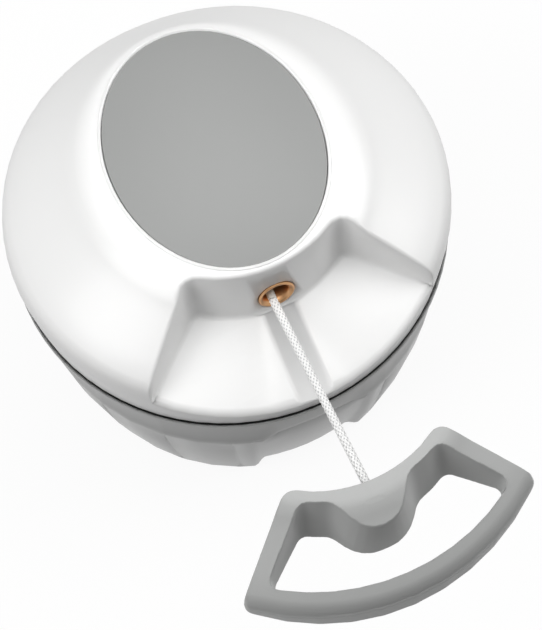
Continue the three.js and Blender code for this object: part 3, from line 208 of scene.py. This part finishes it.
def looked_at(recipe):
    """1 for what the camera, a glossy surface or a clear one sees, and 0 for all other light."""
    seen, gloss, clear = (recipe.node("ShaderNodeLightPath", output=ray) for ray in SEEN_RAYS)
    return recipe.maths("MINIMUM", seen + gloss + clear, 1.0)


def studio_floor():
    bpy.ops.mesh.primitive_plane_add(size=floor_width, location=(0, 0, 0))
    floor = bpy.context.object
    floor.name = "studio_floor"
    recipe = new_material("studio_floor_paper")
    glow = recipe.node("ShaderNodeEmission", Color=(*WHITE, 1.0), Strength=1.0)
    lit = Signal(recipe, recipe.shader.outputs[0])
    glow_share = looked_at(recipe) * floor_whiteness
    mixed = recipe.node("ShaderNodeMixShader", i0=glow_share, i1=lit, i2=glow)
    recipe.tree.links.new(mixed.socket, recipe.tree.nodes["Material Output"].inputs["Surface"])
    seen = recipe.node("ShaderNodeLightPath", output="Is Camera Ray")
    paper = recipe.colours(seen, paper_unseen, paper_seen)
    floor.data.materials.append(recipe.finish(Base_Color=paper, Roughness=0.9))


bpy.ops.object.select_all(action="DESELECT")
studio_floor()
print("floor is", floor_width, "m wide")

# %% [markdown]
# The world is white in the same way: at full strength where it is seen, so that a low view has no
# dark horizon and the glossy plastics mirror a white room, and faint for all other light. Three
# large round lamps do the lighting. A large lamp gives a soft shadow, as a cloth tent does round a
# product, and one on each side keeps the round bowl from going dark at its edges.

# %% World and lamps
world_light = 0.07


def studio_world():
    world = bpy.data.worlds.new("studio")
    bpy.context.scene.world = world
    recipe = Recipe(world, "Background")
    strength = recipe.maths("MAXIMUM", looked_at(recipe), world_light)
    recipe.finish(Color=(*WHITE, 1.0), Strength=strength)


def soft_lamp(name, place, aim, size, watts):
    lamp_data = bpy.data.lights.new(name, "AREA")
    lamp_data.shape = "DISK"
    lamp_data.size = size
    lamp_data.energy = watts
    lamp = bpy.data.objects.new(name, lamp_data)
    bpy.context.scene.collection.objects.link(lamp)
    lamp.location = place
    lamp.rotation_euler = (Vector(aim) - Vector(place)).to_track_quat("-Z", "Y").to_euler()


soft_lamp("lamp_above", place=(0.0, 0.15, 1.4), aim=(0, 0, 0.05), size=1.5, watts=11.5)
soft_lamp("lamp_left", place=(-1.1, -0.1, 0.95), aim=(0, 0, 0.05), size=0.9, watts=9.5)
soft_lamp("lamp_right", place=(1.1, -0.15, 0.95), aim=(0, 0, 0.06), size=0.9, watts=9.3)
studio_world()
bpy.context.scene.view_settings.view_transform = "Standard"

# %% [markdown]
# The cord is a braid about 2.5 mm thick, drawn straight from the eyelet to the handle. A curve
# with a round bevel would give a plain tube, and modelling each strand would take far too many
# faces for so short a piece. A braid has two families of strands that wind opposite ways and pass
# over and under each other, so one function says how far its skin stands out at each point.

# %% Braid pattern
cord_radius = 1.25 * MM
cord_start = Vector((-1.4, -38.46, 91.1)) * MM
cord_end = Vector((-0.8, -100.19, 98.0)) * MM
strand_count = 6
strand_rise = 9.6 * MM
strand_roundness = 0.7


def braid_height(turn, along):
    """How far the braid stands out, from -1 to 1, at a share of a turn and a distance along."""
    right = turn * strand_count + along / strand_rise * strand_count
    left = turn * strand_count - along / strand_rise * strand_count
    crossing = math.cos(math.pi * right) * math.cos(math.pi * left)
    return 2 * abs(crossing) ** strand_roundness - 1


print("braid stands out", round(braid_height(0, 0), 2), "where two strands cross")

# %% [markdown]
# The tube is made in mesh code: a ring of points every fifth of a millimetre, pushed in and out by
# the weave. Its UV map runs once round and along the cord, and the finish reads it to paint shade
# into the gaps between the strands, so that the painted shade and the shape agree.

# %% Braided tube
weave_depth = 0.26 * MM
ring_spacing = 0.2 * MM
around_steps = 40


def tube_points(start, line, radius, rings):
    """The rings of points of the braided skin, from start along line."""
    turn_to_line = line.to_track_quat("Z", "Y").to_matrix()
    rows = []
    for ring in range(rings + 1):
        along = line.length * ring / rings
        row = []
        for step in range(around_steps):
            turn = step / around_steps
            out = radius - weave_depth / 2 + weave_depth / 2 * braid_height(turn, along)
            angle = 2 * math.pi * turn
            point = Vector((out * math.cos(angle), out * math.sin(angle), along))
            row.append(start + turn_to_line @ point)
        rows.append(row)
    return rows


def braided_tube(name, start, end, radius):
    """A straight braided tube, closed at both ends, with its UV map in turns and rises."""
    line = end - start
    rings = round(line.length / ring_spacing)
    shape = bmesh.new()
    uv = shape.loops.layers.uv.new("braid")
    rows = tube_points(start, line, radius, rings)
    made = [[shape.verts.new(point) for point in row] for row in rows]
    for ring, (lower, upper) in enumerate(zip(made, made[1:])):
        for step in range(around_steps):
            after = (step + 1) % around_steps
            face = shape.faces.new((lower[step], lower[after], upper[after], upper[step]))
            face.smooth = True
            turns = (step, step + 1, step + 1, step)
            heights = (ring, ring, ring + 1, ring + 1)
            for loop, at, up in zip(face.loops, turns, heights):
                loop[uv].uv = (at / around_steps, line.length * up / rings / strand_rise)
    shape.faces.new(made[0][::-1])
    shape.faces.new(made[-1])
    mesh = bpy.data.meshes.new(name)
    shape.to_mesh(mesh)
    shape.free()
    tube = bpy.data.objects.new(name, mesh)
    bpy.context.scene.collection.objects.link(tube)
    return tube


cord = braided_tube("braided_cord", cord_start, cord_end, cord_radius)
print("faces on the cord:", len(cord.data.polygons))

# %% [markdown]
# White strands lie close together, and the narrow gaps between them get painted shade, a grey
# tone. Where a point lies on its strand follows from its UV place: adding the two directions counts
# one family of strands and subtracting them counts the other. A fine noise frays both tones into
# fibres.

# %% Cord finish
strand_offset = 100.5
gap_sharpness = 2.6
strand_white = (0.95, 0.95, 0.94)
# Painted shade: the grey of the gaps between the white strands.
gap_painted_shade = (0.42, 0.42, 0.43)


def braid_finish():
    recipe = new_material("braid_white_with_painted_gap_shade")
    uv = recipe.node("ShaderNodeUVMap", settings={"uv_map": "braid"})
    turn = recipe.node("ShaderNodeSeparateXYZ", output="X", Vector=uv)
    along = recipe.node("ShaderNodeSeparateXYZ", output="Y", Vector=uv)
    right = (turn + along) * strand_count + strand_offset
    left = (turn - along) * strand_count + strand_offset
    from_right = recipe.maths("ABSOLUTE", (right % 1) - 0.5)
    from_left = recipe.maths("ABSOLUTE", (left % 1) - 0.5)
    fibre = recipe.noise(scale=9000.0, detail=3.0)
    # Painted shade: the share of grey, highest in the gaps between the strands.
    gap_shade_share = recipe.maths("MINIMUM", (from_right + from_left - 0.5) * gap_sharpness, 1.0)
    gap_shade_share = recipe.maths("MAXIMUM", gap_shade_share, 0.0)
    return recipe.finish(
        Base_Color=recipe.colours(gap_shade_share * 0.8 + fibre * 0.2, strand_white, gap_painted_shade),
        Roughness=recipe.between(fibre, 0.7, 0.9),
        Normal=recipe.bump(fibre, depth=0.05 * MM, strength=0.6),
    )


cord.data.materials.append(braid_finish())
print("cord finish:", cord.data.materials[0].name)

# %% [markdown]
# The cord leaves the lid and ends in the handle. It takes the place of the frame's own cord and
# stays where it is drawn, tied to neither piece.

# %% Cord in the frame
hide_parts("pull_cord")
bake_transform(cord)
print("cord length in mm:", round((cord_end - cord_start).length / MM, 1))

# %% [markdown]
# The seam between lid and bowl reads as a dark line, where the narrow gap is in shade. Black faces
# there would follow the ragged triangles of the frame, so the two plastics get painted shade by
# place instead: the lid below the level of its lowest edge, and the bowl inside the groove of its
# rim. A mask is 1 where this shade is painted.

# %% Painted seam shade
# Painted shade: this near black stands in for the shadow in the gap between lid and bowl.
seam_painted_shade = (0.012, 0.012, 0.012)
lid_edge_level = 69.6 * MM
groove_level = 67.5 * MM
groove_outer_radius = 64.1 * MM
groove_inner_radius = 61.35 * MM


# Painted shade: each mask is 1 where the shade of the seam gap is painted.
def painted_shade_under_lid_edge(radius, level):
    return 1.0 - (level > lid_edge_level)


def painted_shade_in_rim_groove(radius, level):
    between = (radius > groove_inner_radius) * (1.0 - (radius > groove_outer_radius))
    return between * (level > groove_level)


def radius_and_level(recipe):
    """How far a point lies from the chopper's axis, and how high."""
    level = recipe.node("ShaderNodeSeparateXYZ", output="Z", Vector=recipe.place())
    flatten = {"operation": "MULTIPLY"}
    measure = {"operation": "LENGTH"}
    flat = recipe.node("ShaderNodeVectorMath", settings=flatten, i0=recipe.place(), i1=(1, 1, 0))
    radius = recipe.node("ShaderNodeVectorMath", output="Value", settings=measure, i0=flat)
    return radius, level


print("groove width in mm:", round((groove_outer_radius - groove_inner_radius) / MM, 2))

# %% [markdown]
# The plastics differ in gloss more than in colour. The lid is bright white with a thin gloss, the
# bowl is a semi-gloss grey, and the cap and the handle have a satin, finely sparked skin. Flat
# colours would look like paint, so each finish mixes a slow drift of tone, a change of gloss and a
# fine bump at the scale of the mould's skin.

# %% Plastic finishes
darker_share = 0.975
lighter_share = 1.02


def moulded_plastic(name, colour, roughness, grain_scale, grain_depth, coat=0.0, painted_seam_shade=None):
    """A plastic finish, with the seam's painted shade where the given mask says so."""
    recipe = new_material(name)
    drift = recipe.noise(scale=22.0, detail=2.0)
    grain = recipe.noise(scale=grain_scale, detail=3.0)
    low = tuple(channel * darker_share for channel in colour)
    high = tuple(min(1.0, channel * lighter_share) for channel in colour)
    tone = recipe.colours(drift, low, high)
    # Painted shade of the seam gap, mixed into the tone where the mask is 1.
    if painted_seam_shade:
        tone = recipe.colours(painted_seam_shade(*radius_and_level(recipe)), tone, seam_painted_shade)
    return recipe.finish(
        Base_Color=tone,
        Roughness=recipe.between(drift * 0.6 + grain * 0.4, roughness - 0.05, roughness + 0.06),
        Coat_Weight=coat,
        Coat_Roughness=0.12,
        Normal=recipe.bump(grain, grain_depth, strength=0.5),
    )


# The lid's lowest edge and the bowl's rim groove get the painted seam shade.
white_plastic = moulded_plastic(
    "plastic_white_gloss", (0.89, 0.89, 0.885), roughness=0.36, grain_scale=1600.0,
    grain_depth=0.010 * MM, coat=0.1, painted_seam_shade=painted_shade_under_lid_edge,
)
cap_plastic = moulded_plastic(
    "plastic_cap_satin", (0.33, 0.335, 0.33), roughness=0.6, grain_scale=2600.0,
    grain_depth=0.03 * MM,
)
handle_plastic = moulded_plastic(
    "plastic_handle_satin", (0.42, 0.425, 0.42), roughness=0.46, grain_scale=2600.0,
    grain_depth=0.03 * MM,
)
bowl_plastic = moulded_plastic(
    "plastic_bowl_grey", (0.29, 0.293, 0.29), roughness=0.3, grain_scale=1800.0,
    grain_depth=0.012 * MM, coat=0.15, painted_seam_shade=painted_shade_in_rim_groove,
)
inner_plastic = moulded_plastic(
    "plastic_inner_natural", (0.74, 0.74, 0.71), roughness=0.5, grain_scale=2000.0,
    grain_depth=0.02 * MM,
)
print("plastics ready")

# %% [markdown]
# Metal shows the marks of how it was made, and without them it looks like a mirror. The eyelet was
# rolled, which leaves a faint mottle of gloss, and the blades were ground across, which leaves fine
# straight scratches: a noise that is stretched along one direction.


# %% Metal finishes
def rolled_metal(name, colour, roughness):
    recipe = new_material(name)
    marks = recipe.noise(scale=2400.0, detail=3.0)
    tint = recipe.noise(scale=300.0, detail=2.0)
    low = tuple(channel * 0.86 for channel in colour)
    return recipe.finish(
        Base_Color=recipe.colours(tint, low, colour),
        Metallic=1.0,
        Roughness=recipe.between(marks, roughness - 0.06, roughness + 0.08),
        Normal=recipe.bump(marks, depth=0.01 * MM, strength=0.4),
    )


def ground_steel(name):
    recipe = new_material(name)
    stretch = (300.0, 6000.0, 300.0)
    grain = recipe.node("ShaderNodeMapping", Vector=recipe.place(), Scale=stretch)
    scratches = recipe.noise(scale=1.0, detail=3.0, where=grain)
    return recipe.finish(
        Base_Color=recipe.colours(scratches, (0.55, 0.56, 0.57), (0.68, 0.69, 0.70)),
        Metallic=1.0,
        Roughness=recipe.between(scratches, 0.22, 0.42),
        Normal=recipe.bump(scratches, depth=0.006 * MM, strength=0.5),
    )


copper_alloy = rolled_metal("metal_copper_alloy", (0.60, 0.34, 0.17), roughness=0.3)
steel = ground_steel("metal_ground_steel")
print("metals:", copper_alloy.name, steel.name)

# %% [markdown]
# The seal and the pad under the bowl are rubber: matt, slightly mottled, and without the sharp
# glints that would make them look like plastic.


# %% Rubber finishes
def soft_rubber(name, tone):
    recipe = new_material(name)
    mottle = recipe.noise(scale=900.0, detail=4.0)
    return recipe.finish(
        Base_Color=recipe.colours(mottle, (tone * 0.85,) * 3, (tone * 1.1,) * 3),
        Roughness=recipe.between(mottle, 0.7, 0.88),
        Normal=recipe.bump(mottle, depth=0.03 * MM, strength=0.6),
    )


seal_rubber = soft_rubber("rubber_seal_dark", tone=0.045)
pad_rubber = soft_rubber("rubber_pad_grey", tone=0.27)
print("rubbers:", seal_rubber.name, pad_rubber.name)

# %% [markdown]
# Each finish in the record has one material here. A table gives them to the frame's own solids,
# which keep their shape. Naming the material of every node one by one would say the same thing
# less safely, because the record already knows which node has which finish.

# %% Dress the frame's solids
finish_of_slot = {
    "white_plastic": white_plastic,
    "cap_plastic": cap_plastic,
    "handle_plastic": handle_plastic,
    "bowl_plastic": bowl_plastic,
    "mechanism_plastic": inner_plastic,
    "seal_rubber": seal_rubber,
    "pad_rubber": pad_rubber,
    "eyelet_metal": copper_alloy,
    "steel": steel,
    "braid": inner_plastic,
}
slot_of_node = {entry["node"]: entry["material_slot"] for entry in frame["record"]["subparts"]}
for node, solid in frame["nodes"].items():
    solid.data.materials.clear()
    solid.data.materials.append(finish_of_slot[slot_of_node[node]])
print("dressed", len(frame["nodes"]), "solids")

# %% [markdown]
# The large mouldings are smooth, but the frame's solids are loose triangles that shade as flat
# facets. Subdividing them would round every corner by the same amount. Instead a copy of each is
# merged at its doubles and shaded smooth wherever the facets meet at a small angle, so that true
# edges stay crisp.

# %% Smooth mouldings
merge_distance = 0.002 * MM


def only(piece):
    bpy.ops.object.select_all(action="DESELECT")
    piece.select_set(True)
    bpy.context.view_layer.objects.active = piece


def smooth_copy(node, name, body, sharp_degrees):
    """A copy of a frame's solid that takes its place, smooth where facets meet gently."""
    piece = bpy.data.objects.new(name, frame["nodes"][node].data.copy())
    bpy.context.scene.collection.objects.link(piece)
    only(piece)
    bpy.ops.object.mode_set(mode="EDIT")
    bpy.ops.mesh.select_all(action="SELECT")
    bpy.ops.mesh.remove_doubles(threshold=merge_distance)
    bpy.ops.object.mode_set(mode="OBJECT")
    bpy.ops.object.shade_smooth_by_angle(angle=math.radians(sharp_degrees))
    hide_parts(node)
    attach(piece, body)
    return piece


lid = smooth_copy("lid_shell", "lid_moulding", "lid", sharp_degrees=32)
bowl = smooth_copy("bowl", "bowl_moulding", "bowl", sharp_degrees=22)
handle = smooth_copy("pull_handle", "handle_moulding", "handle", sharp_degrees=40)
cap = smooth_copy("cap_disc", "cap_oval", "lid", sharp_degrees=32)
eyelet = smooth_copy("cord_eyelet", "eyelet_ring", "lid", sharp_degrees=32)
print("smooth mouldings:", [piece.name for piece in (lid, bowl, handle, cap, eyelet)])

# %% [markdown]
# Fingers pull on the handle, so its edges are rounded all over. A Bevel modifier needs clean edges,
# and the handle's curved walls meet at hundreds of short ones. A voxel remesh turns the piece into
# an even skin of small faces, and a few rounds of smoothing then ease every edge a little.

# %% Softened handle
skin_grain = 0.4 * MM
easing_factor = 0.5
easing_rounds = 12


def soften(piece):
    only(piece)
    bpy.ops.object.modifier_add(type="REMESH")
    skin = piece.modifiers[-1]
    skin.mode = "VOXEL"
    skin.voxel_size = skin_grain
    skin.use_smooth_shade = True
    bpy.ops.object.modifier_apply(modifier=skin.name)
    bpy.ops.object.modifier_add(type="SMOOTH")
    ease = piece.modifiers[-1]
    ease.factor = easing_factor
    ease.iterations = easing_rounds
    bpy.ops.object.modifier_apply(modifier=ease.name)


soften(handle)
print("faces on the handle:", len(handle.data.polygons))

# %% [markdown]
# The recess cuts the lid's dome into long thin triangles, which catch the light unevenly, and more
# triangles would only move the fault. The dome itself is simple: rings that pass from the oval
# crest to the round shoulder. So an even dome without the recess is modelled beside the lid. Its
# sections are shares of the way out and up, one to the front and one to the rear.

# %% Shape of the dome
lid_radius = 65 * MM
skirt_inset = 0.9 * MM
lid_bottom_level = 69.35 * MM
shoulder_level = 81.5 * MM
crest_level = 107 * MM
crest_half_width = 31 * MM
crest_half_length = 39.2 * MM
crest_set_back = 4.4 * MM
front_fade = 0.6
front_section_shares = (
    (0, 1), (0.1, 1), (0.2, 0.998), (0.28, 0.975), (0.36, 0.88), (0.45, 0.79),
    (0.59, 0.67), (0.77, 0.505), (0.92, 0.37), (0.965, 0.3), (0.99, 0.2), (1, 0),
)
rear_section_shares = (
    (0, 1), (0.04, 0.985), (0.1, 0.93), (0.18, 0.84), (0.28, 0.74), (0.4, 0.62),
    (0.55, 0.47), (0.7, 0.32), (0.83, 0.19), (0.92, 0.1), (0.97, 0.04), (1, 0),
)


def dome_point(row, bearing):
    """A point of the dome on one of its rings. A bearing of zero looks at the handle."""
    front = ((1 + math.cos(bearing)) / 2) ** front_fade
    at_rear, at_front = Vector(rear_section_shares[row]), Vector(front_section_shares[row])
    out, height = at_rear.lerp(at_front, front)
    across, ahead = math.sin(bearing), math.cos(bearing)
    crest = Vector((crest_half_width * across, crest_set_back - crest_half_length * ahead))
    flat = crest.lerp(Vector((lid_radius * across, -lid_radius * ahead)), out)
    return (*flat, shoulder_level + (crest_level - shoulder_level) * height)


print("dome rises", round((crest_level - shoulder_level) / MM, 1), "mm over the shoulder")

# %% [markdown]
# The rings are joined by even four-sided faces, and one more ring at the foot of the skirt carries
# the dome down past the shoulder.

# %% Even dome
dome_columns = 70


def even_dome():
    bearings = [2 * math.pi * column / dome_columns for column in range(dome_columns)]
    foot = lid_radius - skirt_inset
    rings = []
    for row in range(len(front_section_shares)):
        rings.append([dome_point(row, bearing) for bearing in bearings])
    rings.append([(foot * math.sin(b), -foot * math.cos(b), lid_bottom_level) for b in bearings])
    shape = bmesh.new()
    made = [[shape.verts.new(point) for point in ring] for ring in rings]
    for upper, lower in zip(made, made[1:]):
        for column in range(dome_columns):
            after = (column + 1) % dome_columns
            face = shape.faces.new((upper[column], lower[column], lower[after], upper[after]))
            face.smooth = True
    mesh = bpy.data.meshes.new("even_dome")
    shape.to_mesh(mesh)
    shape.free()
    dome = bpy.data.objects.new("even_dome", mesh)
    bpy.context.scene.collection.objects.link(dome)
    return dome


dome = even_dome()
print("faces on the dome:", len(dome.data.polygons))

# %% [markdown]
# A surface is shaded by its normals and not by its triangles. On the flat recess floor the large
# faces set the normals, which a Weighted Normal modifier does for the points of that floor alone.

# %% Flat recess floor
floor_level = 88.2 * MM
floor_reach = 31.49 * MM
floor_slope = 0.39
floor_tolerance = 0.02 * MM
middle_weight = 100


def height_over_floor(point):
    return point.z - floor_level - floor_slope * (point.y + floor_reach)


def group_points(piece, name, belongs):
    """Put the points that belong into a vertex group, and count them."""
    chosen = [point.index for point in piece.data.vertices if belongs(point)]
    piece.vertex_groups.new(name=name).add(chosen, 1.0, "REPLACE")
    return len(chosen)


found = group_points(lid, "recess_floor", lambda v: abs(height_over_floor(v.co)) < floor_tolerance)
only(lid)
bpy.ops.object.modifier_add(type="WEIGHTED_NORMAL")
by_area = lid.modifiers[-1]
by_area.weight = middle_weight
by_area.keep_sharp = True
by_area.vertex_group = "recess_floor"
bpy.ops.object.modifier_apply(modifier=by_area.name)
print("points on the recess floor:", found)

# %% [markdown]
# The even dome now lends its normals to every corner of the lid that lies on it. The top of the
# handle is a piece of the same dome, because it closes the recess when it is docked. So the dome
# is moved to where the handle is drawn out, lends its normals to the corners that look up, and is
# then deleted. No point of either piece moves.

# %% Lent normals
lid_reach = 0.04 * MM
handle_reach = 1.3 * MM
handle_drop = 0.2 * MM
drawn_out = 62.2 * MM
upward = 0.45


def lend_normals(dome, piece, reach, group=""):
    """Give every corner of the group that lies within reach of the dome the dome's normal."""
    only(piece)
    bpy.ops.object.modifier_add(type="DATA_TRANSFER")
    lend = piece.modifiers[-1]
    lend.object = dome
    lend.use_loop_data = True
    lend.data_types_loops = {"CUSTOM_NORMAL"}
    lend.loop_mapping = "POLYINTERP_NEAREST"
    lend.use_max_distance = True
    lend.max_distance = reach
    lend.vertex_group = group
    bpy.ops.object.modifier_apply(modifier=lend.name)


lend_normals(dome, lid, lid_reach)
dome.location = (0, -drawn_out, -handle_drop)
found = group_points(handle, "handle_top", lambda v: v.normal.z > upward)
lend_normals(dome, handle, handle_reach, "handle_top")
bpy.data.objects.remove(dome)
print("points on top of the handle:", found)

# %% [markdown]
# The dressed model has to stay in the frame's own box.

# %% End
print("scene dressed")
